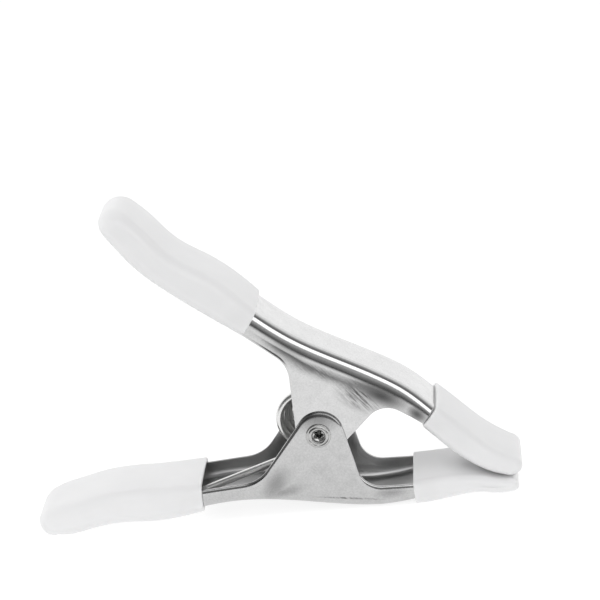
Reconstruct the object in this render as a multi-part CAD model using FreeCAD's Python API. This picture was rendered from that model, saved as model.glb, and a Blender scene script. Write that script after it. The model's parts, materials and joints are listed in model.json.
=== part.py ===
"""Spring clamp: two pressed steel arms on a rivet, a torsion spring, two vinyl grips and two jaw boots.

The clamp lies on its lower arm with the jaws closed.
+X points to the jaws, +Y runs across the clamp and +Z is up.
Shapes are drawn in side view about the rivet's centre.
They are then moved so that the origin is under the middle of the clamp.
All sizes are millimetres, and all angles are degrees from +X towards +Z.
"""

import FreeCAD, Part
import math
import os

# Overall
HANDLE_REACH = 95.0          # rivet centre to the lower grip's end
JAW_REACH = 63.8             # rivet centre to the upper boot's end
PIVOT_HEIGHT = 27.1          # rivet centre above the table

# Pressed arms
SHEET = 1.2
LOWER_WIDTH = 25.0
NEST_GAP = 0.1               # between the nested ears, on each side
UPPER_WIDTH = LOWER_WIDTH - 2 * (SHEET + NEST_GAP)
BEND_RADIUS = 3.0            # outside of the bend between web and side wall
LOWER_EAR_RADIUS = 7.65
UPPER_EAR_RADIUS = 7.6
HANDLE_END_RADIUS = 8.0      # plan corners of the arms' ends
JAW_END_RADIUS = 3.0

# Rivet
RIVET_RADIUS = 3.0
RIVET_RUNNING_GAP = 0.05     # in the upper arm's holes
RIVET_HEAD_RADIUS = 4.7
RIVET_HEAD_HEIGHT = 1.3
RIVET_HEAD_ROUNDING = 0.8
ROLL_RADIUS = 4.1            # rolled-over hollow end
ROLL_HEIGHT = 0.8
ROLL_ROUNDING = 0.7
RIVET_BORE_RADIUS = 2.2
RIVET_BORE_DEPTH = 6.0

# Torsion spring
WIRE_RADIUS = 1.25
COIL_RADIUS = 9.2            # to the wire's centre
COIL_PITCH = 2.65
COIL_WHOLE_TURNS = 3
COIL_REST_GAP = 0.1          # between the coil's inside and the rivet it leans on
COIL_LEAN_ANGLE = 152.0      # direction in which the legs push the coil off the rivet's centre
LOWER_LEG_ANGLE = 195.0
UPPER_LEG_ANGLE = 125.0
LOWER_LEG_LENGTH = 51.0
UPPER_LEG_LENGTH = 47.5

# Vinyl sleeves
LOWER_SLEEVE_HALF = 14.1     # half the width of the sleeves on the lower arm
UPPER_SLEEVE_HALF = 12.8

FAR = 90.0                   # beyond anything that a cutting tool has to clear
END_OVERRUN = 8.0            # how far the tool that hollows a channel runs past its ends
SAME = 1e-6                  # two lengths closer than this are one


def at(x, z, y=0.0):
    """A point of the side view, x right and z up from the rivet's centre."""
    return FreeCAD.Vector(x, y, z)


def heading(angle):
    """The unit vector of the side view at an angle."""
    return at(math.cos(math.radians(angle)), math.sin(math.radians(angle)))


def left_of(angle):
    return heading(angle + 90)


def meet(first, first_angle, second, second_angle):
    """Where two lines of the side view cross, each given by a point and its angle."""
    along = heading(first_angle)
    normal = left_of(second_angle)
    return first + along * ((second - first).dot(normal) / along.dot(normal))


def straight(start, end):
    return Part.LineSegment(start, end).toShape()


def smooth(points):
    """One curve through the points."""
    curve = Part.BSplineCurve()
    curve.interpolate(points)
    return curve


def rounded_path(corners, radii):
    """Straight runs from corner to corner, each inner corner turned by a tangent arc of its own radius."""
    edges = []
    start = corners[0]
    for before, corner, after, radius in zip(corners, corners[1:], corners[2:], radii):
        into = (corner - before).normalize()
        out = (after - corner).normalize()
        half_turn = into.getAngle(out) / 2
        reach = radius * math.tan(half_turn)
        inward = (out - into).normalize()
        middle = corner + inward * (radius / math.cos(half_turn) - radius)
        first = corner - into * reach
        last = corner + out * reach
        edges.append(straight(start, first))
        edges.append(Part.Arc(first, middle, last).toShape())
        start = last
    edges.append(straight(start, corners[-1]))
    return edges


def plate(edges, width):
    """The closed outline of the side view, made into a block of that width about the middle plane."""
    outline = Part.Wire(Part.__sortEdges__(edges))
    face = Part.Face(outline)
    face.translate(FreeCAD.Vector(0, -width / 2, 0))
    return face.extrude(FreeCAD.Vector(0, width, 0))


def bend_edges(block):
    """The two long edges beside the web, the only edges of the block that are splines."""
    return [edge for edge in block.Edges if isinstance(edge.Curve, Part.BSplineCurve)]


def offset_points(curve, distance, count=24):
    """Points at a distance to the left of a curve of the side view."""
    first, last = curve.FirstParameter, curve.LastParameter
    points = []
    for i in range(count + 1):
        u = first + (last - first) * i / count
        along = curve.tangent(u)[0].normalize()
        points.append(curve.value(u) + at(-along.z, along.x) * distance)
    return points


def channel_inside(web, depth_side, open_angle, width):
    """What the pressing leaves open: all that lies between the walls, on the open side of the web."""
    points = offset_points(web, depth_side * SHEET)
    points.insert(0, points[0] + (points[0] - points[1]).normalize() * END_OVERRUN)
    points.append(points[-1] + (points[-1] - points[-2]).normalize() * END_OVERRUN)
    inner = smooth(points)
    away = heading(open_angle) * FAR
    edges = [
        inner.toShape(),
        straight(points[-1], points[-1] + away),
        straight(points[-1] + away, points[0] + away),
        straight(points[0] + away, points[0]),
    ]
    block = plate(edges, width - 2 * SHEET)
    return block.makeFillet(BEND_RADIUS - SHEET, bend_edges(block))


def end_corners(end, outward_angle, half_width, radius):
    """Cutting tools that round an arm's two plan corners at its end."""
    tools = []
    for side in (-1, 1):
        block = Part.makeBox(radius + 1, radius + 1, 2 * FAR)
        block.translate(FreeCAD.Vector(-radius, half_width - radius, -FAR))
        post = Part.makeCylinder(radius, 2 * FAR, FreeCAD.Vector(-radius, half_width - radius, -FAR))
        tool = block.cut(post)
        if side < 0:
            tool = tool.mirror(FreeCAD.Vector(0, 0, 0), FreeCAD.Vector(0, 1, 0))
        tool.rotate(FreeCAD.Vector(0, 0, 0), FreeCAD.Vector(0, -1, 0), outward_angle)
        tool.translate(end)
        tools.append(tool)
    return tools


def cross_hole(radius):
    """A cylinder through all the ears, on the rivet's axis."""
    return Part.makeCylinder(radius, 2 * FAR, FreeCAD.Vector(0, -FAR, 0), FreeCAD.Vector(0, 1, 0))


def pressed_arm(web_points, wall_edges, ends, depth_side, open_angle, width, hole_radius):
    """The envelope of an arm, with its channel filled, and the arm itself."""
    web = smooth(web_points)
    edges = [web.toShape()] + wall_edges
    edges.append(straight(web_points[0], wall_edges[0].Vertexes[0].Point))
    edges.append(straight(web_points[-1], wall_edges[-1].Vertexes[-1].Point))
    block = plate(edges, width)
    envelope = block.makeFillet(BEND_RADIUS, bend_edges(block))
    for end, angle, radius in ends:
        for tool in end_corners(end, angle, width / 2, radius):
            envelope = envelope.cut(tool)
    arm = envelope.cut(channel_inside(web, depth_side, open_angle, width)).cut(cross_hole(hole_radius))
    return envelope, arm


def lower_pressing():
    """The outer arm: web underneath, ears standing up."""
    web_points = [
        at(-91.0, -25.9), at(-80.0, -24.5), at(-68.0, -23.0), at(-55.0, -23.2), at(-40.0, -21.8),
        at(-28.0, -20.9), at(-14.0, -22.3), at(4.0, -25.6), at(18.0, -26.9), at(28.0, -26.0),
        at(44.0, -24.0), at(58.0, -24.5),
    ]
    ear_centre = at(0.45, 0.0)
    left_slope = 51.0
    right_slope = -78.0
    left_point = ear_centre + left_of(left_slope) * LOWER_EAR_RADIUS
    right_point = ear_centre + left_of(right_slope) * LOWER_EAR_RADIUS
    handle_wall = at(-40.0, -15.4)
    handle_wall_slope = 3.5
    jaw_wall = at(28.0, -20.1)
    jaw_wall_slope = -2.0
    corners = [
        at(-91.0, -20.9),
        at(-78.0, -17.0),
        handle_wall,
        meet(handle_wall, handle_wall_slope, left_point, left_slope),
        meet(left_point, left_slope, right_point, right_slope),
        meet(right_point, right_slope, jaw_wall, jaw_wall_slope),
        jaw_wall,
        at(40.0, -19.9),
        at(58.0, -21.9),
    ]
    radii = [40.0, 60.0, 12.0, LOWER_EAR_RADIUS, 8.0, 60.0, 60.0]
    handle_end = (at(-91.0, -23.0), 180.0, HANDLE_END_RADIUS)
    jaw_end = (at(58.0, -23.0), 0.0, JAW_END_RADIUS)
    return pressed_arm(
        web_points, rounded_path(corners, radii), [handle_end, jaw_end], 1, 90.0, LOWER_WIDTH, RIVET_RADIUS
    )


def upper_pressing():
    """The inner arm: web on top, ears hanging down between the lower arm's ears."""
    web_points = [
        at(-53.0, 76.6), at(-47.2, 70.9), at(-40.2, 62.8), at(-30.6, 55.4), at(-21.6, 48.1),
        at(-14.6, 41.9), at(-3.7, 32.9), at(8.8, 25.3), at(20.3, 18.8), at(30.4, 12.0),
        at(37.6, 5.0), at(50.8, -9.2), at(59.6, -15.3),
    ]
    ear_centre = at(0.5, -0.2)
    left_slope = -90.0
    right_slope = 42.6
    left_point = ear_centre - left_of(left_slope) * UPPER_EAR_RADIUS
    right_point = ear_centre - left_of(right_slope) * UPPER_EAR_RADIUS
    handle_wall = at(-43.6, 56.3)
    handle_wall_slope = -41.0
    jaw_wall = at(33.9, 0.2)
    jaw_wall_slope = -34.6
    corners = [
        at(-57.6, 73.4),
        handle_wall,
        meet(handle_wall, handle_wall_slope, left_point, left_slope),
        meet(left_point, left_slope, right_point, right_slope),
        meet(right_point, right_slope, jaw_wall, jaw_wall_slope),
        jaw_wall,
        at(44.0, -10.3),
        at(58.2, -18.9),
    ]
    radii = [60.0, 10.0, UPPER_EAR_RADIUS, 7.5, 60.0, 60.0]
    handle_end = (at(-55.3, 75.0), 130.0, HANDLE_END_RADIUS)
    jaw_end = (at(58.9, -17.1), -33.0, JAW_END_RADIUS)
    return pressed_arm(
        web_points, rounded_path(corners, radii), [handle_end, jaw_end], -1, 230.0,
        UPPER_WIDTH, RIVET_RADIUS + RIVET_RUNNING_GAP,
    )


def sleeve_section(top, bottom, half_width, corner):
    """A rounded rectangle across a sleeve, from its top to its bottom in side view."""
    up = (top - bottom).normalize()
    across = FreeCAD.Vector(0, 1, 0)
    middle = (top + bottom) / 2
    half_height = (top - bottom).Length / 2
    diagonal = math.sqrt(0.5) * corner
    edges = []
    start = None
    first = None
    for side, rise in ((1, 1), (-1, 1), (-1, -1), (1, -1)):
        centre = middle + across * (side * (half_width - corner)) + up * (rise * (half_height - corner))
        to_side = centre + across * (side * corner)
        to_rise = centre + up * (rise * corner)
        halfway = centre + across * (side * diagonal) + up * (rise * diagonal)
        enter, leave = (to_side, to_rise) if side * rise > 0 else (to_rise, to_side)
        if start is None:
            first = enter
        else:
            edges.append(straight(start, enter))
        edges.append(Part.Arc(enter, halfway, leave).toShape())
        start = leave
    edges.append(straight(start, first))
    return Part.Wire(edges)


def sleeve(stations, arm_envelope):
    """A vinyl sock: its outside is drawn through the stations, and the arm fills its inside."""
    outside = Part.makeLoft([sleeve_section(*station) for station in stations], True, False)
    table = Part.makeBox(4 * FAR, 2 * FAR, FAR, FreeCAD.Vector(-2 * FAR, -FAR, -PIVOT_HEIGHT - FAR))
    return outside.cut(table).cut(arm_envelope)


def lower_grip(arm_envelope):
    wide = LOWER_SLEEVE_HALF
    return sleeve([
        (at(-39.7, -13.1), at(-39.9, -23.0), wide, 3.6),
        (at(-56.5, -13.3), at(-56.0, -25.1), wide - 0.3, 4.0),
        (at(-72.0, -13.7), at(-69.5, -24.6), wide - 0.3, 4.0),
        (at(-81.0, -15.5), at(-78.5, -25.9), wide - 0.2, 4.0),
        (at(-88.6, -17.2), at(-85.8, -27.4), wide - 0.6, 4.0),
        (at(-92.8, -19.2), at(-91.3, -27.1), wide - 2.4, 2.9),
        (at(-HANDLE_REACH, -22.0), at(-HANDLE_REACH, -25.4), wide - 6.0, 1.3),
    ], arm_envelope)


def upper_grip(arm_envelope):
    wide = UPPER_SLEEVE_HALF
    return sleeve([
        (at(-14.6, 43.3), at(-20.3, 35.3), wide, 3.2),
        (at(-27.8, 56.3), at(-35.8, 47.1), wide, 3.8),
        (at(-39.5, 64.9), at(-48.0, 57.7), wide, 4.0),
        (at(-46.6, 73.6), at(-55.8, 67.2), wide, 4.0),
        (at(-51.2, 78.2), at(-59.8, 72.5), wide - 0.7, 3.7),
        (at(-53.9, 80.1), at(-60.9, 75.5), wide - 2.4, 2.7),
        (at(-56.5, 80.4), at(-59.7, 78.1), wide - 6.3, 1.3),
    ], arm_envelope)


def lower_boot(arm_envelope):
    wide = LOWER_SLEEVE_HALF
    return sleeve([
        (at(28.3, -18.7), at(28.5, -27.1), wide, 2.8),
        (at(33.0, -18.4), at(33.0, -27.3), wide, 3.2),
        (at(41.0, -18.2), at(42.0, -25.7), wide - 0.2, 3.0),
        (at(50.0, -19.2), at(50.0, -25.3), wide - 0.3, 2.8),
        (at(57.0, -20.9), at(57.5, -26.2), wide - 0.5, 2.6),
        (at(60.4, -21.4), at(60.6, -25.9), wide - 1.3, 2.0),
        (at(62.0, -22.4), at(62.0, -24.7), wide - 3.0, 1.1),
    ], arm_envelope)


def upper_boot(arm_envelope):
    wide = UPPER_SLEEVE_HALF
    return sleeve([
        (at(38.7, 5.6), at(33.0, -0.9), wide, 2.8),
        (at(46.7, -2.4), at(40.2, -8.8), wide, 3.2),
        (at(52.8, -8.6), at(47.4, -15.2), wide, 3.0),
        (at(57.6, -12.2), at(54.2, -19.2), wide, 3.0),
        (at(61.4, -14.2), at(59.0, -20.7), wide - 0.5, 2.6),
        (at(JAW_REACH, -16.6), at(62.9, -19.9), wide - 2.0, 1.2),
    ], arm_envelope)


def rivet():
    """A semi-tubular rivet along Y: plain head at the back, hollow end rolled over the front ear."""
    ear_face = LOWER_WIDTH / 2
    along = FreeCAD.Vector(0, 1, 0)

    def disc(radius, start, length):
        return Part.makeCylinder(radius, length, FreeCAD.Vector(0, start, 0), along)

    head = disc(RIVET_HEAD_RADIUS, ear_face, RIVET_HEAD_HEIGHT)
    head_rim = rim_at(head, ear_face + RIVET_HEAD_HEIGHT, RIVET_HEAD_RADIUS)
    head = head.makeFillet(RIVET_HEAD_ROUNDING, [head_rim])
    roll_start = -ear_face - ROLL_HEIGHT
    roll = disc(ROLL_RADIUS, roll_start, ROLL_HEIGHT)
    roll = roll.cut(disc(RIVET_BORE_RADIUS, roll_start, ROLL_HEIGHT))
    rims = [rim_at(roll, roll_start, ROLL_RADIUS), rim_at(roll, roll_start, RIVET_BORE_RADIUS)]
    roll = roll.makeFillet(ROLL_ROUNDING, rims)
    shank = disc(RIVET_RADIUS, -ear_face, LOWER_WIDTH)
    shank = shank.cut(disc(RIVET_BORE_RADIUS, -ear_face, RIVET_BORE_DEPTH))
    return shank.fuse([head, roll]).removeSplitter()


def rim_at(shape, y, radius):
    """The round edge of that radius at that place along Y."""
    for edge in shape.Edges:
        curve = edge.Curve
        if not isinstance(curve, Part.Circle):
            continue
        same_radius = math.isclose(curve.Radius, radius, abs_tol=SAME)
        if same_radius and math.isclose(curve.Center.y, y, abs_tol=SAME):
            return edge
    raise ValueError(f"no rim of radius {radius} at y {y}")


def spring():
    """One wire: a straight leg along the lower channel, the coil, and one along the upper channel."""
    lean = COIL_RADIUS - WIRE_RADIUS - RIVET_RADIUS - COIL_REST_GAP
    centre = heading(COIL_LEAN_ANGLE) * lean
    first_angle = LOWER_LEG_ANGLE + 90
    last_angle = UPPER_LEG_ANGLE + 270
    sweep = 360 * COIL_WHOLE_TURNS + (last_angle - first_angle) % 360
    length = COIL_PITCH * sweep / 360
    left_handed = True
    helix = Part.makeHelix(COIL_PITCH, length, COIL_RADIUS, 0, left_handed)
    helix.rotate(FreeCAD.Vector(0, 0, 0), FreeCAD.Vector(-1, 0, 0), 90)
    helix.rotate(FreeCAD.Vector(0, 0, 0), FreeCAD.Vector(0, -1, 0), first_angle)
    helix.translate(centre - FreeCAD.Vector(0, length / 2, 0))
    line = helix.Edges[0]
    start, start_along = line.valueAt(line.FirstParameter), line.tangentAt(line.FirstParameter)
    end, end_along = line.valueAt(line.LastParameter), line.tangentAt(line.LastParameter)
    section = Part.Wire(Part.Circle(start, start_along, WIRE_RADIUS).toShape())
    coil = helix.makePipeShell([section], True, True)
    lower_leg = Part.makeCylinder(WIRE_RADIUS, LOWER_LEG_LENGTH, start, start_along * -1)
    upper_leg = Part.makeCylinder(WIRE_RADIUS, UPPER_LEG_LENGTH, end, end_along)
    return coil.fuse([lower_leg, upper_leg])


def make_clamp():
    lower_envelope, lower_arm = lower_pressing()
    upper_envelope, upper_arm = upper_pressing()
    return {
        "lower_arm": lower_arm,
        "upper_arm": upper_arm,
        "pivot_rivet": rivet(),
        "torsion_spring": spring(),
        "lower_handle_grip": lower_grip(lower_envelope),
        "upper_handle_grip": upper_grip(upper_envelope),
        "lower_jaw_boot": lower_boot(lower_envelope),
        "upper_jaw_boot": upper_boot(upper_envelope),
    }


os.makedirs("parts", exist_ok=True)
PIVOT = FreeCAD.Vector((HANDLE_REACH - JAW_REACH) / 2, 0, PIVOT_HEIGHT)
for name, shape in make_clamp().items():
    assert len(shape.Solids) == 1, name
    shape = shape.Solids[0]
    shape.translate(PIVOT)
    print(f"{name}: valid {shape.isValid()}, {shape.Volume:.0f} mm3, {len(shape.Faces)} faces")
    shape.exportStep(f"parts/{name}.step")
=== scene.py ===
"""Spring clamp with vinyl grips: detailed meshes, materials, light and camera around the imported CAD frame.

Side-view shapes are in millimetres from the rivet's centre, x towards the jaws and z up, as in the CAD part.
Every mesh is built in metres in the row frame. Angles are in degrees.
"""

import json
import math

import bmesh
import bpy
import numpy as np
from mathutils import Matrix, Vector, noise

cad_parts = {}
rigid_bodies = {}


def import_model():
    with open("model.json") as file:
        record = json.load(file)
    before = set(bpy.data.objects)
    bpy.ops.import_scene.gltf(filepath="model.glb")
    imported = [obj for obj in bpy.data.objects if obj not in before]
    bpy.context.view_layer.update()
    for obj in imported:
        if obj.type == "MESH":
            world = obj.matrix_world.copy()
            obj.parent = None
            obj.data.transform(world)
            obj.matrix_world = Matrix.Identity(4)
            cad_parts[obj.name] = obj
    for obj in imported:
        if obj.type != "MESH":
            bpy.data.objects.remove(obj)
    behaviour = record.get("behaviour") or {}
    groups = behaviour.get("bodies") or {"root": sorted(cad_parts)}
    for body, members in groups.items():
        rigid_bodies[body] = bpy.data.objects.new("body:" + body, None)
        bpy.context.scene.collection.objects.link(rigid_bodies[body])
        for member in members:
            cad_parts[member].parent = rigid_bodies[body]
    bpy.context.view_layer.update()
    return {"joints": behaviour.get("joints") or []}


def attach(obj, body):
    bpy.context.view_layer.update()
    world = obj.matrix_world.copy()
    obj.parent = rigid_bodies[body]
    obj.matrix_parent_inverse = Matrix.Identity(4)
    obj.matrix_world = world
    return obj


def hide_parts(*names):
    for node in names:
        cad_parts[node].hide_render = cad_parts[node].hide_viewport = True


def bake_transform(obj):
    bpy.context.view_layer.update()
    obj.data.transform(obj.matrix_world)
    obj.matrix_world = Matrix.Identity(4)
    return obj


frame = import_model()

MM = 0.001
HINGE = frame["joints"][0]
PIVOT = Vector(HINGE["pos_m"])
LOWER = HINGE["parent"]
UPPER = HINGE["child"]

# Pressed arms
SHEET = 1.2
LOWER_WIDTH = 25.0
UPPER_WIDTH = 22.4
LOWER_EAR = 7.65             # radius of an ear round the rivet
UPPER_EAR = 7.6
LOWER_HOLE = 3.0             # radius of the rivet's hole
UPPER_HOLE = 3.05
LOWER_RULING = 90.0          # angle of the straight lines from the web to the cut edge
UPPER_RULING = 66.0
BEND_WIDE = 3.1              # the bend's reach across the web
BEND_TALL = 5.2              # and down the wall, where it flattens slowly
BEND_SHARE = 0.62            # the most of a low wall that the bend may take
SETTLE = 0.62                # how far the wall draws in towards the bend, at most
SETTLE_SPAN = 16.0           # how far along the arm from there it has halved
SETTLE_REACH = 7.0           # how far from the bend it has faded out
LOWER_SETTLE_MIDDLE = 0.0    # where along the arm it is greatest
UPPER_SETTLE_MIDDLE = 6.0
RIM_ROUND = 0.2              # rounding of the cut edge on the inside
LOWER_RIM = (2.0, 0.6)       # how far off the edge the outside starts to roll over, and how far it falls
UPPER_RIM = (0.35, 0.12)
RIM_SHARE = 0.3              # the most of a low wall that the roll may take

# Vinyl sleeves
SLEEVE_WALL = 1.3
LOWER_SLEEVE_HALF = 14.1     # half of the width over the lower arm
UPPER_SLEEVE_HALF = 12.8
CROWN = 0.25                 # how far the broad faces bulge
CORNER_SHARE = 0.95          # the most of a half side that a corner may take
CORNER_LEAST = 0.3
HEIGHT_LEAST = 0.01
LIP = 0.45                   # rounding of a sleeve's mouth
LIP_CLEAR = 1.6              # the even part starts this many lips from the mouth
MOUTH_DEPTH = 7.0            # how far the inside is modelled
TIP_FULLNESS = 0.8           # below 1 the tip is blunter than an ellipse
TIP_CORNER = 1.6             # how much later than its height the tip's corners close
TIP_LEAST = 0.001
WAVE = 0.13                  # unevenness of the dipped surface
WAVE_SCALE = 0.09            # its waves to the millimetre
FLOOR_CLEARANCE = 0.00003    # in metres, keeps the resting sleeves just off the floor

# Rivet
RIVET_FACE = 12.5            # from the middle to the outside of the lower arm's ears
THROAT_STAR = 0.22           # depth of the star that the split end leaves in the throat
THROAT_LEAN = 0.12           # how uneven that star is
ROLL_WAVE = 0.04             # waviness of the rolled end

# Torsion spring
WIRE = 1.25                  # radius of the wire
WIRE_END = 0.8               # radius of its cut ends, as a share of that
COIL_TURNS = 3               # whole turns, and the legs' angle comes on top
COIL_RADIUS = 9.2
COIL_PITCH = 2.65
COIL_NEAR = (-4.40, 2.25)    # centre of the near end, where the turns sit off to the left of the rivet
COIL_FAR = (0.1, 2.6)        # centre of the far end
LOWER_LEG_ANGLE = 195.0
UPPER_LEG_ANGLE = 129.0
LOWER_LEG = 50.5
UPPER_LEG = 46.0

# Finish of the plated sheet
# The upper arm's tones are lighter than the lower's on the same plating: painted light that brightens its
# plates, which this lighting leaves darker.
LOWER_TONES = (0.485, 0.575)
UPPER_TONES = (0.575, 0.665)
SHADE_AND_SCRATCH_TONE = (0.07, 0.07, 0.07)        # painted shade and dark reflection on the plating, in places broken up by scratches
CHANNEL_SHADE_TONE = (0.48, 0.48, 0.48)      # inside the channels: a plain tone darker than the outside, painted shade
PLATE_ROUGHNESS = 0.06
BROAD_ROUGHNESS = 0.06                # each of these is added in full where its own pattern is 1
GRAIN_ROUGHNESS = 0.04
# Extra roughness where the shade and scratches are painted.
SHADE_AND_SCRATCH_ROUGHNESS = 0.15
INSIDE_ROUGHNESS = 0.22
SCRATCH_SIZE = (1.0 / 1500, 1.0, 1.0 / 160)     # in metres: across a scratch, through the sheet, along it
SCRATCH_ANGLE = 38.0                  # how far the scratches lean to the left

# Light from each direction: pairs of its height, depth or place to the right, from 0 to 1, and its brightness
BACK_WALL = ((0.50, 1.2), (0.68, 1.2), (0.75, 1.05), (0.90, 1.05), (0.93, 0.22), (1.0, 0.2))
STRIP_DEPTH = (
    (0.0, 0.28), (0.02, 0.36), (0.04, 0.5), (0.055, 0.42),
    (0.068, 0.6), (0.085, 1.9), (0.19, 2.0), (0.22, 0.2), (1.0, 0.2),
)
STRIP_RIGHT = ((0.34, 0.12), (0.47, 1.0))
STRIP_HEIGHT = ((0.47, 0.15), (0.50, 0.6), (0.60, 1.0))
GROUND = (
    (0.0, 1.05), (0.37, 1.05), (0.396, 0.97), (0.418, 0.7),
    (0.437, 0.33), (0.447, 0.2), (0.457, 0.06), (0.49, 0.06), (0.5, 0.0),
)
FRONT_TO_BACK = 1.6          # how quickly the front gives way to the back wall
LIGHT_AIM = (0.0, 0.0, 0.03)

# Floor, in metres
FLOOR_REACH = 4.0
FLOOR_FRONT = -0.2
FLOOR_GLOW = (0.58, 0.58, 0.58, 1.0)
FLOOR_GLOW_STRENGTH = 1.27

# Camera
LENS = 150.04
SENSOR = 36.0
CLIP_END = 20.0
CAMERA_AIM = (-1.36, 0.0, 41.97)
CAMERA_DISTANCE = 0.79713    # in metres
CAMERA_AZIMUTH = 5.02
CAMERA_ELEVATION = 18.863
CAMERA_ROLL = 7.376

# How finely the meshes are divided
WEB_SAMPLES = 900
STATION_STEP = 0.55          # spacing of the sections along an arm's cut edge
ROLL_STEPS = 12
WALL_SHARES = (0.0, 0.06, 0.12, 0.18, 0.25, 0.33, 0.42, 0.52, 0.64, 0.76, 0.88, 1.0)
BEND_STEPS = 18
INNER_BEND_STEPS = BEND_STEPS - 1
WEB_SHARES = (0.25, 0.5, 0.75)
INNER_RIM_STEPS = 3
INSIDE_MARGIN = 4            # points at either end of the inside that keep the outside's finish
BORE_SIDES = 64
SLEEVE_PLACES = 110
FACE_STEPS = 8
CORNER_STEPS = 12
SIDE_STEPS = 4
LIP_STEPS = 4
TIP_STEPS = 14
RIVET_SIDES = 96
COIL_STEPS = 420
LOWER_LEG_STEPS = 50
UPPER_LEG_STEPS = 46
WIRE_SIDES = 28


# ---------------------------------------------------------------- geometry helpers

def place(x, y, z):
    """A point given in millimetres from the rivet's centre, in metres in the row frame."""
    return PIVOT + Vector((x, y, z)) * MM


def natural_spline(knots, values, places):
    """The smooth curve through values (one row per knot), at each of the places."""
    knots, values, places = (np.asarray(a, float) for a in (knots, values, places))
    gap = np.diff(knots)
    n = len(knots)
    matrix = np.eye(n)
    right = np.zeros_like(values)
    for i in range(1, n - 1):
        matrix[i, i - 1:i + 2] = gap[i - 1], 2 * (gap[i - 1] + gap[i]), gap[i]
        right[i] = 6 * ((values[i + 1] - values[i]) / gap[i] - (values[i] - values[i - 1]) / gap[i - 1])
    bend = np.linalg.solve(matrix, right)
    span = np.clip(np.searchsorted(knots, places) - 1, 0, n - 2)
    h = gap[span][:, None]
    a = (knots[span + 1] - places)[:, None]
    b = (places - knots[span])[:, None]
    low, high = values[span], values[span + 1]
    return (
        (bend[span] * a ** 3 + bend[span + 1] * b ** 3) / (6 * h)
        + (low / h - bend[span] * h / 6) * a
        + (high / h - bend[span + 1] * h / 6) * b
    )


def along_lengths(points):
    """Distance along a polyline to each of its points."""
    points = np.asarray(points, float)
    steps = np.linalg.norm(np.diff(points, axis=0), axis=1)
    return np.concatenate([[0.0], np.cumsum(steps)])


def rounded_path(corners, radii, step):
    """Points along straight runs from corner to corner, with each inner corner turned by a tangent arc."""
    corners = [np.array(c, float) for c in corners]
    points = [corners[0]]
    for before, corner, after, radius in zip(corners, corners[1:], corners[2:], radii):
        into = (corner - before) / np.linalg.norm(corner - before)
        out = (after - corner) / np.linalg.norm(after - corner)
        turn = math.acos(float(np.clip(into @ out, -1, 1)))
        inward = (out - into) / np.linalg.norm(out - into)
        centre = corner + inward * radius / math.cos(turn / 2)
        pieces = max(3, int(turn * radius / step * 2))
        for i in range(pieces + 1):
            share = (i / pieces - 0.5) * turn
            across = math.sin(share) * (into + out) / np.linalg.norm(into + out)
            points.append(centre + radius * (across - math.cos(share) * inward))
    points.append(corners[-1])
    dense = np.array(points)
    lengths = along_lengths(dense)
    count = int(lengths[-1] / step)
    at = np.linspace(0, lengths[-1], count)
    return np.column_stack([np.interp(at, lengths, dense[:, k]) for k in (0, 1)])


def direction(angle):
    """The side view's unit vector at an angle from x."""
    return np.array([math.cos(math.radians(angle)), math.sin(math.radians(angle))])


def meet(first, first_angle, second, second_angle):
    """Where two lines of the side view cross, each given by a point and its angle."""
    along = direction(first_angle)
    normal = direction(second_angle + 90)
    first = np.array(first, float)
    return first + along * (((np.array(second, float) - first) @ normal) / (along @ normal))


def left_normals(points):
    """Unit normals of a side-view polyline, to the left of its direction."""
    slope = np.gradient(points, axis=0)
    slope /= np.linalg.norm(slope, axis=1)[:, None]
    return np.column_stack([-slope[:, 1], slope[:, 0]])


def soft_hill(x, z, centre, size, angle=0.0):
    """1 at the centre, fading to 0 over the size, on an ellipse turned by the angle."""
    turned = direction(angle)
    dx, dz = x - centre[0], z - centre[1]
    u = (dx * turned[0] + dz * turned[1]) / size[0]
    v = (-dx * turned[1] + dz * turned[0]) / size[1]
    return math.exp(-(u * u + v * v))


def mesh_object(name, points, faces, material):
    """A smooth-shaded object from points in the row frame."""
    mesh = bpy.data.meshes.new(name)
    mesh.from_pydata([tuple(p) for p in points], [], faces)
    mesh.update()
    mesh.polygons.foreach_set("use_smooth", [True] * len(mesh.polygons))
    mesh.materials.append(material)
    obj = bpy.data.objects.new(name, mesh)
    bpy.context.scene.collection.objects.link(obj)
    return obj


def tube_faces(rings, around):
    """Quads between neighbouring rings of points."""
    faces = []
    for i in range(rings - 1):
        for j in range(around):
            a = i * around + j
            b = i * around + (j + 1) % around
            c = (i + 1) * around + (j + 1) % around
            d = (i + 1) * around + j
            faces.append((a, b, c, d))
    return faces


def end_faces(rings, around):
    """One face over each end of a tube."""
    return [tuple(range(around)), tuple(reversed(range((rings - 1) * around, rings * around)))]


def tidy_mesh(obj, merge=0.00001):
    """Merges points that meet and turns all faces outwards."""
    work = bmesh.new()
    work.from_mesh(obj.data)
    bmesh.ops.remove_doubles(work, verts=work.verts, dist=merge)
    bmesh.ops.recalc_face_normals(work, faces=work.faces)
    work.to_mesh(obj.data)
    work.free()
    obj.data.polygons.foreach_set("use_smooth", [True] * len(obj.data.polygons))


def crease_sharp(obj, angle):
    """Keeps edges sharper than the angle sharp in shading."""
    work = bmesh.new()
    work.from_mesh(obj.data)
    for edge in work.edges:
        if len(edge.link_faces) == 2:
            edge.smooth = edge.calc_face_angle() < math.radians(angle)
    work.to_mesh(obj.data)
    work.free()


def apply_modifiers(obj):
    """Puts the result of the modifiers into the mesh."""
    bpy.context.view_layer.update()
    evaluated = obj.evaluated_get(bpy.context.evaluated_depsgraph_get())
    result = bpy.data.meshes.new_from_object(evaluated)
    old = obj.data
    obj.modifiers.clear()
    obj.data = result
    result.name = old.name
    bpy.data.meshes.remove(old)


# ---------------------------------------------------------------- node helpers

def set_input(tree, socket, value):
    """Links the socket to a value that is itself a socket, or stores a plain value in it."""
    if isinstance(value, bpy.types.NodeSocket):
        tree.links.new(value, socket)
    else:
        socket.default_value = value


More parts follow.
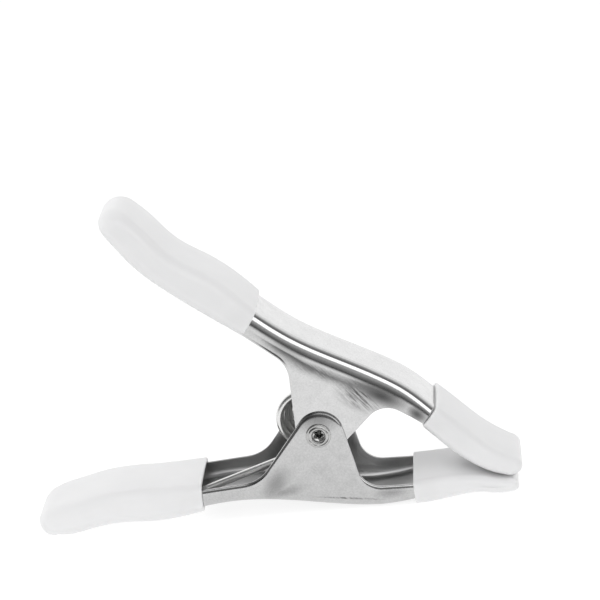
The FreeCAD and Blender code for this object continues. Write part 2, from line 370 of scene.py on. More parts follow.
def ramp(tree, factor, *stops):
    """A colour ramp: pairs of a place and a grey value or a colour."""
    made = tree.nodes.new("ShaderNodeValToRGB")
    tree.links.new(factor, made.inputs[0])
    elements = made.color_ramp.elements
    while len(elements) < len(stops):
        elements.new(0.5)
    for element, (place_at, value) in zip(elements, stops):
        element.position = place_at
        element.color = (*value, 1) if isinstance(value, tuple) else (value, value, value, 1)
    return made.outputs[0]


def math_node(tree, operation, first, second, third=None, clamp=False):
    """A sum or product of two or three numbers, each a socket or a plain value."""
    made = tree.nodes.new("ShaderNodeMath")
    made.operation = operation
    made.use_clamp = clamp
    for socket, value in zip(made.inputs, (first, second, third)):
        if value is not None:
            set_input(tree, socket, value)
    return made.outputs[0]


def vector_length(tree, vector, kept):
    """The length of a vector, once each part is multiplied by 1 or 0 as kept says."""
    flat = tree.nodes.new("ShaderNodeVectorMath")
    flat.operation = "MULTIPLY"
    tree.links.new(vector, flat.inputs[0])
    flat.inputs[1].default_value = kept
    length = tree.nodes.new("ShaderNodeVectorMath")
    length.operation = "LENGTH"
    tree.links.new(flat.outputs[0], length.inputs[0])
    return length.outputs["Value"]


def new_material(name):
    """A material with its node tree and its shader."""
    material = bpy.data.materials.new(name)
    material.use_nodes = True
    tree = material.node_tree
    return material, tree, tree.nodes["Principled BSDF"]


def object_places(tree, scale=(1.0, 1.0, 1.0)):
    """Object coordinates, scaled."""
    coordinates = tree.nodes.new("ShaderNodeTexCoord")
    mapping = tree.nodes.new("ShaderNodeMapping")
    mapping.inputs["Scale"].default_value = scale
    tree.links.new(coordinates.outputs["Object"], mapping.inputs["Vector"])
    return mapping.outputs[0]


def turned_places(tree, lengths, angle, middle=(0.0, 0.0, 0.0)):
    """Object coordinates from the middle, turned about y and measured in the three lengths given."""
    coordinates = tree.nodes.new("ShaderNodeTexCoord")
    mapping = tree.nodes.new("ShaderNodeMapping")
    mapping.vector_type = "TEXTURE"
    mapping.inputs["Location"].default_value = middle
    mapping.inputs["Rotation"].default_value = (0.0, -math.radians(angle), 0.0)
    mapping.inputs["Scale"].default_value = lengths
    tree.links.new(coordinates.outputs["Object"], mapping.inputs["Vector"])
    return mapping.outputs[0]


def noise_value(tree, vector, scale, detail, roughness):
    """Smooth noise about 0.5."""
    made = tree.nodes.new("ShaderNodeTexNoise")
    tree.links.new(vector, made.inputs["Vector"])
    made.inputs["Scale"].default_value = scale
    made.inputs["Detail"].default_value = detail
    made.inputs["Roughness"].default_value = roughness
    return made.outputs["Fac"]


def bump(tree, height, distance, strength, under=None):
    """Bump from a height, on top of another bump if one is given."""
    made = tree.nodes.new("ShaderNodeBump")
    tree.links.new(height, made.inputs["Height"])
    made.inputs["Distance"].default_value = distance
    made.inputs["Strength"].default_value = strength
    if under is not None:
        tree.links.new(under, made.inputs["Normal"])
    return made.outputs[0]


def mix_tones(tree, share, first, second):
    """A colour between the first, which is a socket, and the second, which is plain."""
    mixed = tree.nodes.new("ShaderNodeMix")
    mixed.data_type = "RGBA"
    tree.links.new(share, mixed.inputs[0])
    tree.links.new(first, mixed.inputs[6])
    mixed.inputs[7].default_value = (*second, 1.0)
    return mixed.outputs[2]


def hill_mask(tree, centre, size, angle):
    """1 at a place of the side view, fading to 0 over the size, on an ellipse turned by the angle."""
    middle = place(centre[0], 0.0, centre[1])
    from_centre = turned_places(tree, (size[0] * MM, 1.0, size[1] * MM), angle, middle)
    made = tree.nodes.new("ShaderNodeMapRange")
    made.interpolation_type = "SMOOTHSTEP"
    tree.links.new(vector_length(tree, from_centre, (1.0, 0.0, 1.0)), made.inputs["Value"])
    made.inputs["From Min"].default_value = 1.0
    made.inputs["From Max"].default_value = 0.0
    return made.outputs[0]


# ---------------------------------------------------------------- materials

def shade_and_scratch_mask(tree, patches, streaks):
    """Where shade is painted on the plating: the strongest of the even patches of painted shade and dark
    reflection, and of the patches broken up by scratches.
    """
    along_scratches = turned_places(tree, SCRATCH_SIZE, SCRATCH_ANGLE)
    scratches = noise_value(tree, along_scratches, scale=1.0, detail=3.0, roughness=0.65)
    broken = ramp(tree, scratches, (0.38, 0.15), (0.62, 1.0))
    masks = []
    for centre, size, angle, strength in patches:
        masks.append(math_node(tree, "MULTIPLY", hill_mask(tree, centre, size, angle), strength))
    for centre, size, angle, strength in streaks:
        scratched = math_node(tree, "MULTIPLY", hill_mask(tree, centre, size, angle), broken)
        masks.append(math_node(tree, "MULTIPLY", scratched, strength))
    shade_and_scratch = masks[0]
    for mask in masks[1:]:
        shade_and_scratch = math_node(tree, "MAXIMUM", shade_and_scratch, mask)
    return shade_and_scratch


def plated_steel(name, tones, patches, streaks):
    """Bright plated sheet with fine grain and small mottling, darkened by painted patches of shade and dark
    reflection, some broken up by scratches.

    patches and streaks are lists of centre, size, angle and strength.
    """
    material, tree, shader = new_material(name)
    shader.inputs["Metallic"].default_value = 1.0
    grain = noise_value(tree, object_places(tree, (500, 4000, 4000)), scale=1.0, detail=4.0, roughness=0.6)
    mottle = noise_value(tree, object_places(tree), scale=260.0, detail=3.0, roughness=0.5)
    broad = noise_value(tree, object_places(tree), scale=60.0, detail=2.0, roughness=0.5)
    speck = noise_value(tree, object_places(tree), scale=1700.0, detail=2.0, roughness=0.6)
    cloud = math_node(tree, "MULTIPLY_ADD", speck, 0.6, math_node(tree, "MULTIPLY", mottle, 0.4))
    tone = ramp(tree, cloud, (0.36, tones[0]), (0.64, tones[1]))
    shade_and_scratch = shade_and_scratch_mask(tree, patches, streaks)
    inside = tree.nodes.new("ShaderNodeAttribute")
    inside.attribute_name = "inside"
    # Painted shade: the inside of the channels takes a plain darker tone, and is rougher.
    tone = mix_tones(tree, inside.outputs["Fac"], tone, CHANNEL_SHADE_TONE)
    # Painted shade: the patches pull the plating's colour towards a near-black tone.
    tree.links.new(mix_tones(tree, shade_and_scratch, tone, SHADE_AND_SCRATCH_TONE), shader.inputs["Base Color"])
    rough = math_node(tree, "MULTIPLY_ADD", broad, BROAD_ROUGHNESS, PLATE_ROUGHNESS)
    rough = math_node(tree, "MULTIPLY_ADD", grain, GRAIN_ROUGHNESS, rough)
    rough = math_node(tree, "MULTIPLY_ADD", shade_and_scratch, SHADE_AND_SCRATCH_ROUGHNESS, rough)
    rough = math_node(tree, "MULTIPLY_ADD", inside.outputs["Fac"], INSIDE_ROUGHNESS, rough)
    tree.links.new(rough, shader.inputs["Roughness"])
    tree.links.new(bump(tree, grain, distance=0.00002, strength=0.12), shader.inputs["Normal"])
    return material


def lower_plating():
    """Painted shade at the top of the ear and at its two feet, and a painted dark reflection in a long streak
    near the bend, broken up by scratches.
    """
    patches = [
        ((0.5, 6.5), (11.0, 7.5), 0.0, 0.62),
        ((-15.5, -15.5), (9.0, 5.5), 55.0, 0.5),
        ((-13.0, -18.5), (10.0, 3.0), 10.0, 0.4),
        ((21.0, -22.0), (8.0, 2.6), 0.0, 0.35),
    ]
    streaks = [
        ((7.0, -22.9), (15.0, 0.55), -7.5, 0.9),
        ((-1.5, -11.8), (5.0, 3.0), 0.0, 0.25),
    ]
    return plated_steel("plated_sheet_lower", LOWER_TONES, patches, streaks)


def upper_plating():
    """Painted shade and dark reflection along the bend, most of all above the ear's right foot, and at the
    mouth of the jaw's boot, partly broken up by scratches.
    """
    patches = [
        ((21.5, 10.8), (14.0, 5.0), -28.0, 0.95),
        ((-7.0, 29.5), (12.0, 3.0), -34.0, 0.3),
        ((32.0, 3.6), (6.0, 3.6), -42.0, 0.9),
    ]
    streaks = [
        ((15.0, 11.5), (11.0, 7.0), -30.0, 1.0),
        ((2.0, 21.5), (14.0, 3.0), -30.0, 0.5),
        ((31.0, 2.5), (7.0, 3.0), -38.0, 0.8),
    ]
    return plated_steel("plated_sheet_upper", UPPER_TONES, patches, streaks)


def rivet_steel():
    """Blotchy, slightly rough steel."""
    material, tree, shader = new_material("rivet_metal")
    shader.inputs["Metallic"].default_value = 1.0
    blotch = noise_value(tree, object_places(tree), scale=900.0, detail=3.0, roughness=0.6)
    tone = ramp(tree, blotch, (0.3, (0.44, 0.44, 0.435)), (0.7, (0.54, 0.54, 0.535)))
    tree.links.new(tone, shader.inputs["Base Color"])
    rough = math_node(tree, "MULTIPLY_ADD", blotch, 0.12, 0.14)
    tree.links.new(rough, shader.inputs["Roughness"])
    tree.links.new(bump(tree, blotch, distance=0.0001, strength=0.25), shader.inputs["Normal"])
    return material


def spring_steel():
    """Light drawn wire with a soft shine."""
    material, tree, shader = new_material("spring_wire")
    shader.inputs["Metallic"].default_value = 1.0
    streak = noise_value(tree, object_places(tree, (300, 300, 300)), scale=3.0, detail=4.0, roughness=0.6)
    tone = ramp(tree, streak, (0.3, (0.78, 0.78, 0.77)), (0.7, (0.85, 0.85, 0.84)))
    tree.links.new(tone, shader.inputs["Base Color"])
    rough = math_node(tree, "MULTIPLY_ADD", streak, 0.10, 0.24)
    tree.links.new(rough, shader.inputs["Roughness"])
    tree.links.new(bump(tree, streak, distance=0.00002, strength=0.1), shader.inputs["Normal"])
    return material


def white_vinyl():
    """Dipped vinyl: soft white with a skin that is never quite even."""
    material, tree, shader = new_material("dipped_vinyl")
    broad = noise_value(tree, object_places(tree), scale=90.0, detail=3.0, roughness=0.5)
    fine = noise_value(tree, object_places(tree), scale=1400.0, detail=2.0, roughness=0.5)
    tone = ramp(tree, broad, (0.3, (0.752, 0.752, 0.757)), (0.7, (0.77, 0.77, 0.773)))
    tree.links.new(tone, shader.inputs["Base Color"])
    tree.links.new(ramp(tree, fine, (0.3, 0.285), (0.7, 0.34)), shader.inputs["Roughness"])
    shader.inputs["Subsurface Weight"].default_value = 0.45
    shader.inputs["Subsurface Radius"].default_value = (1.0, 1.0, 1.0)
    shader.inputs["Subsurface Scale"].default_value = 0.003
    soft = bump(tree, broad, distance=0.0006, strength=0.06)
    tree.links.new(bump(tree, fine, distance=0.00002, strength=0.10, under=soft), shader.inputs["Normal"])
    return material


def pale_floor():
    """Matt paper that glows a little, so that it stays as white as the background."""
    material, tree, shader = new_material("pale_floor")
    shader.inputs["Roughness"].default_value = 0.9
    paper = noise_value(tree, object_places(tree), scale=40.0, detail=2.0, roughness=0.5)
    tree.links.new(ramp(tree, paper, (0.2, 0.345), (0.8, 0.35)), shader.inputs["Base Color"])
    shader.inputs["Emission Color"].default_value = FLOOR_GLOW
    shader.inputs["Emission Strength"].default_value = FLOOR_GLOW_STRENGTH
    return material


# ---------------------------------------------------------------- pressed arms

def drawn_in(settle, distance):
    """How far the wall still draws in at a distance from its bend."""
    return settle * max(0.0, 1 - distance / SETTLE_REACH) ** 2


def half_section(edge, edge_out, base, web_out, half, settle, rim_roll, rim_drop):
    """Half of the sheet's section: the outside from cut edge to the web's middle, and the inside back again.

    Points are x, y, z, and 1 on the wall or 0 on the bend and the web.
    """
    height = np.linalg.norm(edge - base)
    tall = min(BEND_TALL, BEND_SHARE * height)
    roll = min(rim_roll, RIM_SHARE * height)
    bend_end = base - web_out * tall
    roll_start = edge - edge_out * roll
    wall = roll_start - bend_end
    wall_length = np.linalg.norm(wall)
    flat_half = half - settle - BEND_WIDE

    outer = []
    for i in range(ROLL_STEPS + 1):
        turn = math.radians(90 * (1 - i / ROLL_STEPS))
        point = roll_start + edge_out * roll * math.sin(turn)
        outer.append((point[0], half - rim_drop * (1 - math.cos(turn)), point[1], 1))
    for share in reversed(WALL_SHARES[:-1]):
        point = bend_end + wall * share
        outer.append((point[0], half - drawn_in(settle, wall_length * share), point[1], 1))
    for i in range(1, BEND_STEPS + 1):
        turn = math.radians(90 - 90 * i / BEND_STEPS)
        point = bend_end + web_out * tall * math.cos(turn)
        outer.append((point[0], half - settle - BEND_WIDE * (1 - math.sin(turn)), point[1], 0))
    for share in reversed(WEB_SHARES):
        outer.append((base[0], flat_half * share, base[1], 0))
    outer.append((base[0], 0.0, base[1], 0))

    web_inside = base - web_out * SHEET
    inner = [(web_inside[0], 0.0, web_inside[1], 0)]
    for share in WEB_SHARES:
        inner.append((web_inside[0], flat_half * share, web_inside[1], 0))
    for i in range(INNER_BEND_STEPS, -1, -1):
        turn = math.radians(90 - 90 * i / INNER_BEND_STEPS)
        point = bend_end + web_out * (tall - SHEET) * math.cos(turn)
        y = half - settle - SHEET - (BEND_WIDE - SHEET) * (1 - math.sin(turn))
        inner.append((point[0], y, point[1], 0))
    for share in WALL_SHARES[1:]:
        point = bend_end + wall * share
        inner.append((point[0], half - drawn_in(settle, wall_length * share) - SHEET, point[1], 1))
    for i in range(INNER_RIM_STEPS + 1):
        turn = math.radians(90 * i / INNER_RIM_STEPS)
        point = edge + edge_out * RIM_ROUND * (math.sin(turn) - 1)
        inner.append((point[0], half - SHEET + RIM_ROUND * (1 - math.cos(turn)), point[1], 1))
    return outer, inner


def closed_ring(outer, inner, warp):
    """The whole section: over the outside from the near cut edge to the far one, and back over the inside."""
    near = [(x, -(y + wall * warp(x, z)), z) for x, y, z, wall in outer]
    far = [(x, y + wall * warp(x, z), z) for x, y, z, wall in outer]
    inside_far = [(x, y + wall * warp(x, z), z) for x, y, z, wall in inner]
    inside_near = [(x, -(y + wall * warp(x, z)), z) for x, y, z, wall in inner]
    return near + far[-2::-1] + inside_far[::-1] + inside_near[1:]


def arm_rings(web_points, rim, ruling, width, web_side, warp, rim_shape, settle_middle):
    """Closed sections round the sheet, one at each point of the cut edge.

    A section's walls follow the line at the ruling angle from its point of the cut edge to the web.
    web_side is 1 where the web's outside is to the left of its direction, and -1 where it is to the right.
    """
    knots = along_lengths(web_points)
    web = natural_spline(knots, web_points, np.linspace(0, knots[-1], WEB_SAMPLES))
    web_out = left_normals(web) * web_side
    rim_out = left_normals(rim) * -web_side
    across = direction(ruling - 90)
    web_s = web @ across
    rim_s = rim @ across
    bases = np.column_stack([np.interp(rim_s, web_s, web[:, k]) for k in (0, 1)])
    normals = np.column_stack([np.interp(rim_s, web_s, web_out[:, k]) for k in (0, 1)])
    rings = []
    for edge, edge_out, base, normal in zip(rim, rim_out, bases, normals):
        settle = SETTLE / (1 + ((base[0] - settle_middle) / SETTLE_SPAN) ** 4)
        outer, inner = half_section(edge, edge_out, base, normal, width / 2, settle, *rim_shape)
        rings.append(closed_ring(outer, inner, warp))
    return rings


def cut_bore(obj, radius, material):
    """Cuts the rivet's hole through both walls."""
    reach = 16.0
    points = []
    for y in (-reach, reach):
        for j in range(BORE_SIDES):
            turn = 2 * math.pi * j / BORE_SIDES
            points.append(place(radius * math.cos(turn), y, radius * math.sin(turn)))
    cutter = mesh_object("cutter", points, tube_faces(2, BORE_SIDES) + end_faces(2, BORE_SIDES), material)
    tidy_mesh(cutter)
    hole = obj.modifiers.new("rivet_hole", "BOOLEAN")
    hole.object = cutter
    hole.operation = "DIFFERENCE"
    hole.solver = "EXACT"
    apply_modifiers(obj)
    bpy.data.objects.remove(cutter)


def arm_object(name, rings, material, hole_radius):
    """The arm's mesh, with the rivet's hole and an attribute that marks the channel's inside."""
    around = len(rings[0])
    points = [place(*p) for ring in rings for p in ring]
    faces = tube_faces(len(rings), around)
    half_ring = around // 2
    for base in (0, (len(rings) - 1) * around):
        for j in range(half_ring - 1):
            faces.append((base + j, base + j + 1, base + around - 2 - j, base + around - 1 - j))
    obj = mesh_object(name, points, faces, material)
    # The inside is the second half of each ring, but for a few points at either end.
    inside = [float(half_ring + INSIDE_MARGIN <= j < around - INSIDE_MARGIN) for j in range(around)]
    marks = obj.data.attributes.new("inside", "FLOAT", "POINT")
    marks.data.foreach_set("value", inside * len(rings))
    tidy_mesh(obj)
    cut_bore(obj, hole_radius, material)
    crease_sharp(obj, angle=35)
    return obj


def lower_arm(material):
    """Outer arm: the web below, and two ears that stand up over the other arm's."""
    web = [
        (-76.0, -24.0), (-68.0, -23.0), (-55.0, -23.2), (-40.0, -21.8),
        (-28.0, -20.9), (-14.0, -22.3), (4.0, -25.6), (18.0, -26.9), (28.0, -26.0),
        (38.0, -24.6), (47.0, -23.9),
    ]
    ear = np.array([0.45, 0.0])
    left, right = 51.0, -78.0
    left_point = ear + direction(left + 90) * LOWER_EAR
    right_point = ear + direction(right + 90) * LOWER_EAR
    wall_left, wall_right = (-40.0, -15.4), (28.0, -20.1)
    corners = [
        (-75.5, -17.0), wall_left,
        meet(wall_left, 3.5, left_point, left), meet(left_point, left, right_point, right),
        meet(right_point, right, wall_right, -2.0), wall_right, (38.0, -20.3), (46.5, -20.6),
    ]
    rim = rounded_path(corners, [60, 12, LOWER_EAR, 8, 60, 60], STATION_STEP)

    def warp(x, z):
        """The slight unevenness that the press leaves in the walls."""
        dent = -0.06 * soft_hill(x, z, (-15, -17), (7, 5), 45)
        return dent + 0.03 * soft_hill(x, z, (3, -12), (9, 7))

    rings = arm_rings(web, rim, LOWER_RULING, LOWER_WIDTH, -1, warp, LOWER_RIM, LOWER_SETTLE_MIDDLE)
    return arm_object("lower_arm_pressing", rings, material, LOWER_HOLE)


def upper_arm(material):
    """Inner arm: the web above, and two ears that hang down between the other arm's."""
    web = [
        (-46.0, 69.0), (-40.2, 62.8), (-30.6, 55.4), (-21.6, 48.1),
        (-14.6, 41.9), (-3.7, 32.9), (8.8, 25.3), (20.3, 18.8), (30.4, 12.0),
        (37.6, 5.0), (50.0, -8.6),
    ]
    ear = np.array([0.5, -0.2])
    left, right = -90.0, 42.6
    left_point = ear - direction(left + 90) * UPPER_EAR
    right_point = ear - direction(right + 90) * UPPER_EAR
    wall_left, wall_right = (-43.6, 56.3), (33.9, 0.2)
    corners = [
        (-49.0, 61.5), wall_left,
        meet(wall_left, -41.0, left_point, left), meet(left_point, left, right_point, right),
        meet(right_point, right, wall_right, -34.6), wall_right, (44.0, -10.3),
    ]
    rim = rounded_path(corners, [60, 10, UPPER_EAR, 7.5, 60], STATION_STEP)

    def warp(x, z):
        """The slight unevenness that the press leaves in the walls."""
        bulge = 0.05 * soft_hill(x, z, (18, 12), (8, 4), -30)
        return bulge - 0.04 * soft_hill(x, z, (-4, 22), (8, 6), -40)

    rings = arm_rings(web, rim, UPPER_RULING, UPPER_WIDTH, 1, warp, UPPER_RIM, UPPER_SETTLE_MIDDLE)
    return arm_object("upper_arm_pressing", rings, material, UPPER_HOLE)


# ---------------------------------------------------------------- vinyl sleeves

def section(half_height, half_width, corner, crown):
    """Points of a rounded rectangle (across, up) with crowned faces, from the middle of its top."""
    half_height = max(half_height, HEIGHT_LEAST)
    corner = min(corner, half_height * CORNER_SHARE, half_width * CORNER_SHARE)
    quarter = []
    flat = half_width - corner
    for i in range(FACE_STEPS):
        quarter.append((flat * i / FACE_STEPS, half_height))
    for i in range(CORNER_STEPS):
        turn = math.radians(90 * i / CORNER_STEPS)
        quarter.append((flat + corner * math.sin(turn), half_height - corner * (1 - math.cos(turn))))
    side = half_height - corner
    for i in range(SIDE_STEPS):
        quarter.append((half_width, side * (1 - i / SIDE_STEPS)))
    quarter.append((half_width, 0.0))
    crowned = [(y, z * (1 - crown / half_height * (y / half_width) ** 2)) for y, z in quarter]
    right = crowned + [(y, -z) for y, z in crowned[-2::-1]]
    return right + [(-y, z) for y, z in right[-2:0:-1]]


def sleeve(name, body, slot_material, stations, tip, plan_round, node_name):
    """A vinyl sock: stations of top, bottom, half width and corner, then a rounded tip.

    The inside follows the outside at the wall's thickness as far as the mouth shows it.
    """
    rows = np.array([[*top, *bottom, wide, corner] for top, bottom, wide, corner in stations], float)
    middles = (rows[:, 0:2] + rows[:, 2:4]) / 2
    lengths = along_lengths(middles)
    places = np.linspace(0, lengths[-1], SLEEVE_PLACES)
    table = natural_spline(lengths, rows, places)
    inwards = middles[1] - middles[0]

    def ring(row, inset=0.0, back=0.0, tall=1.0, narrow=0.0, ahead=None):
        """One loop: inset from the outside, moved back into the mouth, or lowered and narrowed at the tip."""
        top, bottom = row[0:2], row[2:4]
        up = (top - bottom) / np.linalg.norm(top - bottom)
        middle = (top + bottom) / 2 if ahead is None else ahead
        height = np.linalg.norm(top - bottom) / 2 * tall - inset
        wide = row[4] - inset - narrow
        corner = max(row[5] * min(tall * TIP_CORNER, 1.0) - inset, CORNER_LEAST)
        into = back * inwards / np.linalg.norm(inwards)
        loop = []
        for y, z in section(height, wide, corner, CROWN * tall):
            side = middle + up * z + into
            wave = WAVE * noise.noise(Vector((side[0], y, side[1])) * WAVE_SCALE) * tall
            outward = 0.0 if inset else wave * (1 if z > 0 else -1)
            point = place(side[0] + up[0] * outward, y, side[1] + up[1] * outward)
            point.z = max(point.z, FLOOR_CLEARANCE)
            loop.append(point)
        return loop

    mouth = table[0]
    rings = [
        ring(mouth, inset=SLEEVE_WALL, back=MOUTH_DEPTH),
        ring(mouth, inset=SLEEVE_WALL, back=MOUTH_DEPTH / 2),
    ]
    for i in range(LIP_STEPS + 1):
        turn = math.radians(90 * i / LIP_STEPS)
        inset = SLEEVE_WALL - LIP * (1 - math.cos(turn))
        rings.append(ring(mouth, inset=inset, back=LIP * (1 - math.sin(turn))))
    for i in range(LIP_STEPS + 1):
        turn = math.radians(90 * i / LIP_STEPS)
        inset = max(LIP * (1 - math.sin(turn)), 0.0)
        rings.append(ring(mouth, inset=inset, back=LIP * (1 - math.cos(turn))))
    start = int(np.searchsorted(places, LIP * LIP_CLEAR))
    for row in table[start:]:
        rings.append(ring(row))
    end = table[-1]
    end_middle = (end[0:2] + end[2:4]) / 2
    for i in range(1, TIP_STEPS + 1):
        turn = math.radians(90 * i / TIP_STEPS)
        reach = end_middle + (np.array(tip) - end_middle) * math.sin(turn)
        tall = max(math.cos(turn) ** TIP_FULLNESS, TIP_LEAST)
        rings.append(ring(end, tall=tall, narrow=plan_round * (1 - math.cos(turn)), ahead=reach))
    faces = tube_faces(len(rings), len(rings[0]))
    obj = mesh_object(name, [p for loop in rings for p in loop], faces, slot_material)
    tidy_mesh(obj, merge=0.00002)
    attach(obj, body)
    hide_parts(node_name)


def lower_grip(vinyl):
    """The sleeve on the lower handle, with its underside on the floor."""
    half = LOWER_SLEEVE_HALF
    sleeve("lower_grip_sock", LOWER, vinyl, [
        ((-39.7, -13.1), (-39.9, -23.0), half - 0.1, 3.6),
        ((-56.5, -13.3), (-56.0, -25.1), half - 0.3, 4.0),
        ((-72.0, -13.7), (-69.5, -24.6), half - 0.3, 4.0),
        ((-81.0, -15.5), (-78.5, -25.9), half - 0.2, 4.0),
        ((-87.0, -16.8), (-84.6, -27.0), half - 0.5, 4.0),
        ((-90.4, -17.9), (-88.6, -27.0), half - 1.2, 3.8),
    ], (-94.8, -23.9), 6.5, "lower_handle_grip")


def upper_grip(vinyl):
    """The sleeve on the upper handle."""
    half = UPPER_SLEEVE_HALF
    sleeve("upper_grip_sock", UPPER, vinyl, [
        ((-14.6, 43.3), (-20.3, 35.3), half - 0.1, 3.2),
        ((-27.8, 56.3), (-35.8, 47.1), half, 3.8),
        ((-39.5, 64.9), (-48.0, 57.7), half, 4.0),
        ((-46.6, 73.6), (-55.8, 67.2), half, 4.0),
        ((-50.6, 77.7), (-59.1, 72.0), half - 0.6, 3.8),
    ], (-58.7, 79.6), 7.0, "upper_handle_grip")


def lower_boot(vinyl):
    """The short sleeve on the lower jaw."""
    half = LOWER_SLEEVE_HALF
    sleeve("lower_jaw_sock", LOWER, vinyl, [
        ((28.3, -18.7), (28.5, -26.9), half - 0.1, 2.8),
        ((33.0, -18.4), (33.0, -26.9), half - 0.1, 3.2),
        ((41.0, -18.2), (42.0, -25.7), half - 0.2, 3.0),
        ((50.0, -19.2), (50.0, -25.3), half - 0.3, 2.8),
        ((57.0, -20.9), (57.5, -26.2), half - 0.5, 2.6),
        ((60.0, -21.4), (60.2, -26.0), half - 1.0, 2.2),
    ], (62.0, -23.7), 2.5, "lower_jaw_boot")


def upper_boot(vinyl):
    """The short sleeve on the upper jaw, which closes on the lower one."""
    half = UPPER_SLEEVE_HALF
    sleeve("upper_jaw_sock", UPPER, vinyl, [
        ((38.7, 5.6), (33.0, -0.9), half - 0.1, 2.8),
        ((46.7, -2.4), (40.2, -8.8), half, 3.2),
        ((52.8, -8.6), (47.4, -15.2), half, 3.0),
        ((57.6, -12.2), (54.2, -19.2), half, 3.0),
        ((61.0, -14.3), (58.4, -20.6), half - 0.4, 2.7),
    ], (63.4, -18.6), 2.5, "upper_jaw_boot")


# ---------------------------------------------------------------- rivet

def rivet_profile():
    """Radius and y from the bottom of the hollow, over the rolled end and along the shank to the far head."""
    face = RIVET_FACE
    throat = [
        (0.0, -face + 6.0), (0.9, -face + 6.0), (0.95, -face + 1.6), (1.15, -face + 0.9), (1.6, -face + 0.35),
    ]
    rolled = [
        (1.95, -face + 0.1), (2.1, -face - 0.25), (2.3, -face - 0.5), (2.6, -face - 0.6), (2.9, -face - 0.55),
        (3.1, -face - 0.38), (3.22, -face - 0.3), (3.4, -face - 0.4), (3.65, -face - 0.42),
        (3.9, -face - 0.32), (4.05, -face - 0.15), (4.05, -face),
    ]
    shank = [(2.95, -face), (2.95, 0.0), (2.95, face)]
    head = [
        (4.7, face), (4.7, face + 0.4), (4.55, face + 0.75),
        (4.1, face + 1.05), (3.2, face + 1.25), (1.6, face + 1.3), (0.0, face + 1.3),
    ]
    profile = throat + rolled + shank + head
    fine = []
    for first, second, gap in zip(profile, profile[1:], np.diff(along_lengths(profile))):
        pieces = 3 if gap < 1.2 else 1
        for k in range(pieces):
            share = k / pieces
            fine.append(tuple(a + (b - a) * share for a, b in zip(first, second)))
    fine.append(profile[-1])
    return fine


def rivet(material):
    """Semi-tubular rivet: its end is rolled over the near ear and split a little, its head is at the back."""
    fine = rivet_profile()
    points = []
    for radius, y in fine:
        for j in range(RIVET_SIDES):
            turn = 2 * math.pi * j / RIVET_SIDES
            star = math.cos(5 * turn + 0.6)
            split = 0.0
            if y < -RIVET_FACE + 1.2 and radius < 1.7:
                split = THROAT_STAR * star + THROAT_LEAN * math.cos(3 * turn + 2.0)
            elif y < -RIVET_FACE - 0.1 and radius < 3.3:
                split = ROLL_WAVE * star
            reach = max(radius + split * min(radius, 1.0), 0.0)
            points.append(place(reach * math.cos(turn), y, reach * math.sin(turn)))
    obj = mesh_object("rivet_rolled", points, tube_faces(len(fine), RIVET_SIDES), material)
    tidy_mesh(obj)
    crease_sharp(obj, angle=50)
    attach(obj, LOWER)
    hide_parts("pivot_rivet")


# ---------------------------------------------------------------- spring

def spring_path():
    """The wire's centre line: lower leg, coil and upper leg, each leg straight on from the coil."""
    first = LOWER_LEG_ANGLE + 90
    last = UPPER_LEG_ANGLE + 270
    sweep = 360 * COIL_TURNS + (last - first) % 360
    length = COIL_PITCH * sweep / 360
    near_centre = np.array([COIL_NEAR[0], 0.0, COIL_NEAR[1]])
    far_centre = np.array([COIL_FAR[0], 0.0, COIL_FAR[1]])
    coil = []
    for i in range(COIL_STEPS + 1):
        share = i / COIL_STEPS
        turn = math.radians(first + sweep * share)
        coil.append(near_centre + (far_centre - near_centre) * share + np.array([
            COIL_RADIUS * math.cos(turn), -length / 2 + length * share, COIL_RADIUS * math.sin(turn)
        ]))
    start_along = (coil[1] - coil[0]) / np.linalg.norm(coil[1] - coil[0])
    end_along = (coil[-1] - coil[-2]) / np.linalg.norm(coil[-1] - coil[-2])
    lower_leg = [
        coil[0] - start_along * LOWER_LEG * (1 - i / LOWER_LEG_STEPS)
        for i in range(LOWER_LEG_STEPS)
    ]
    upper_leg = [
        coil[-1] + end_along * UPPER_LEG * i / UPPER_LEG_STEPS
        for i in range(1, UPPER_LEG_STEPS + 1)
    ]
    return np.array(lower_leg + coil + upper_leg)


def spring(material):
    """One wire, fixed in place: the twist that the real spring takes as the clamp opens is not modelled."""
    path = spring_path()
    along = np.gradient(path, axis=0)
    along /= np.linalg.norm(along, axis=1)[:, None]
    side = np.cross(along[0], [0, 1, 0])
    side /= np.linalg.norm(side)
    rings = []
    for i, (point, ahead) in enumerate(zip(path, along)):
        side = side - ahead * (side @ ahead)
        side /= np.linalg.norm(side)
        other = np.cross(ahead, side)
        radius = WIRE if 0 < i < len(path) - 1 else WIRE * WIRE_END
        ring = []
        for j in range(WIRE_SIDES):
            turn = 2 * math.pi * j / WIRE_SIDES
            ring.append(place(*(point + radius * (math.cos(turn) * side + math.sin(turn) * other))))
        rings.append(ring)
    faces = tube_faces(len(rings), WIRE_SIDES) + end_faces(len(rings), WIRE_SIDES)
    obj = mesh_object("spring_wire", [p for loop in rings for p in loop], faces, material)
    tidy_mesh(obj)
    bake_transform(obj)
    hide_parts("torsion_spring")


# ---------------------------------------------------------------- studio

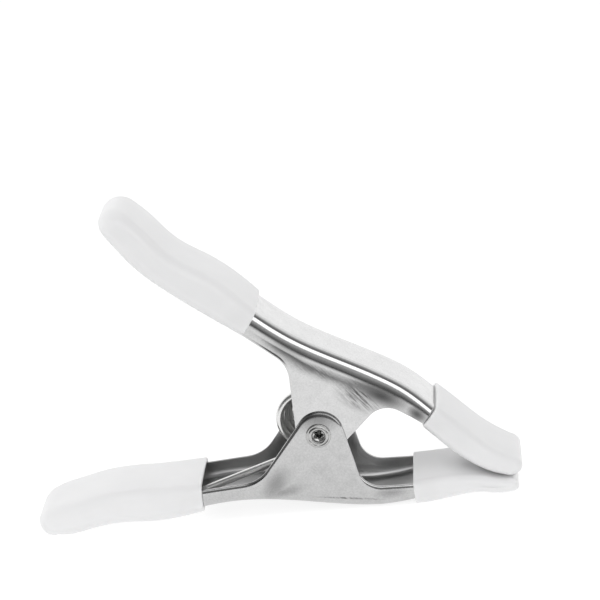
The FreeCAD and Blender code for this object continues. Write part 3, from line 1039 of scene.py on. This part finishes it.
def world_light():
    """What the steel mirrors: a white back wall under a dark ceiling, and in front a bright strip, a dark
    horizon and pale ground. The camera itself sees plain white.
    """
    world = bpy.data.worlds.new("studio")
    bpy.context.scene.world = world
    world.use_nodes = True
    tree = world.node_tree
    background = tree.nodes["Background"]
    coordinates = tree.nodes.new("ShaderNodeTexCoord")
    split = tree.nodes.new("ShaderNodeSeparateXYZ")
    tree.links.new(coordinates.outputs["Generated"], split.inputs[0])
    right = math_node(tree, "MULTIPLY_ADD", split.outputs["X"], 0.5, 0.5)
    depth = math_node(tree, "MULTIPLY_ADD", split.outputs["Y"], 0.5, 0.5)
    height = math_node(tree, "MULTIPLY_ADD", split.outputs["Z"], 0.5, 0.5)
    back = ramp(tree, height, *BACK_WALL)
    strip = math_node(tree, "MULTIPLY", ramp(tree, depth, *STRIP_DEPTH), ramp(tree, right, *STRIP_RIGHT))
    strip = math_node(tree, "MULTIPLY", strip, ramp(tree, height, *STRIP_HEIGHT))
    front = math_node(tree, "MAXIMUM", strip, ramp(tree, height, *GROUND))
    behind = math_node(tree, "MULTIPLY_ADD", split.outputs["Y"], FRONT_TO_BACK, 0.5, clamp=True)
    tent = math_node(tree, "MULTIPLY_ADD", math_node(tree, "SUBTRACT", back, front), behind, front)
    seen = tree.nodes.new("ShaderNodeLightPath").outputs["Is Camera Ray"]
    shown = math_node(tree, "MULTIPLY_ADD", math_node(tree, "SUBTRACT", 1.0, tent), seen, tent)
    tree.links.new(shown, background.inputs["Color"])
    background.inputs["Strength"].default_value = 1.0


def area_light(name, where, size, power):
    """A soft light aimed at the clamp, which no surface mirrors."""
    light = bpy.data.lights.new(name, "AREA")
    light.shape = "RECTANGLE"
    light.size, light.size_y = size
    light.energy = power
    obj = bpy.data.objects.new(name, light)
    obj.location = where
    obj.rotation_euler = (Vector(LIGHT_AIM) - Vector(where)).to_track_quat("-Z", "Y").to_euler()
    obj.visible_glossy = False
    bpy.context.scene.collection.objects.link(obj)


def floor():
    """A plain sheet under the clamp and far behind it."""
    reach, front = FLOOR_REACH, FLOOR_FRONT
    points = [(-reach, front, 0), (reach, front, 0), (reach, reach, 0), (-reach, reach, 0)]
    obj = mesh_object("floor", points, [(0, 1, 2, 3)], pale_floor())


def camera():
    """The camera, placed by its angles and distance from the point it looks at, and rolled about its axis."""
    data = bpy.data.cameras.new("camera")
    data.lens = LENS
    data.sensor_width = SENSOR
    data.clip_end = CLIP_END
    obj = bpy.data.objects.new("camera", data)
    bpy.context.scene.collection.objects.link(obj)
    bpy.context.scene.camera = obj
    azimuth, elevation, roll = (math.radians(a) for a in (CAMERA_AZIMUTH, CAMERA_ELEVATION, CAMERA_ROLL))
    back = Vector((
        math.sin(azimuth) * math.cos(elevation), -math.cos(azimuth) * math.cos(elevation), math.sin(elevation)
    ))
    obj.location = place(*CAMERA_AIM) + back * CAMERA_DISTANCE
    level = back.to_track_quat("Z", "Y")
    obj.rotation_mode = "QUATERNION"
    obj.rotation_quaternion = Matrix.Rotation(-roll, 3, back).to_quaternion() @ level


def build():
    """Every piece, then the studio."""
    low = lower_arm(lower_plating())
    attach(low, LOWER)
    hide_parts("lower_arm")
    high = upper_arm(upper_plating())
    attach(high, UPPER)
    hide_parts("upper_arm")
    vinyl = white_vinyl()
    lower_grip(vinyl)
    upper_grip(vinyl)
    lower_boot(vinyl)
    upper_boot(vinyl)
    rivet(rivet_steel())
    spring(spring_steel())
    floor()
    world_light()
    area_light("key", where=(-0.35, -0.5, 1.43), size=(0.9, 0.8), power=9.0)
    area_light("fill", where=(-0.8, -1.0, 0.55), size=(0.8, 0.6), power=4.2)
    camera()
    bpy.context.scene.view_settings.view_transform = "Standard"


build()
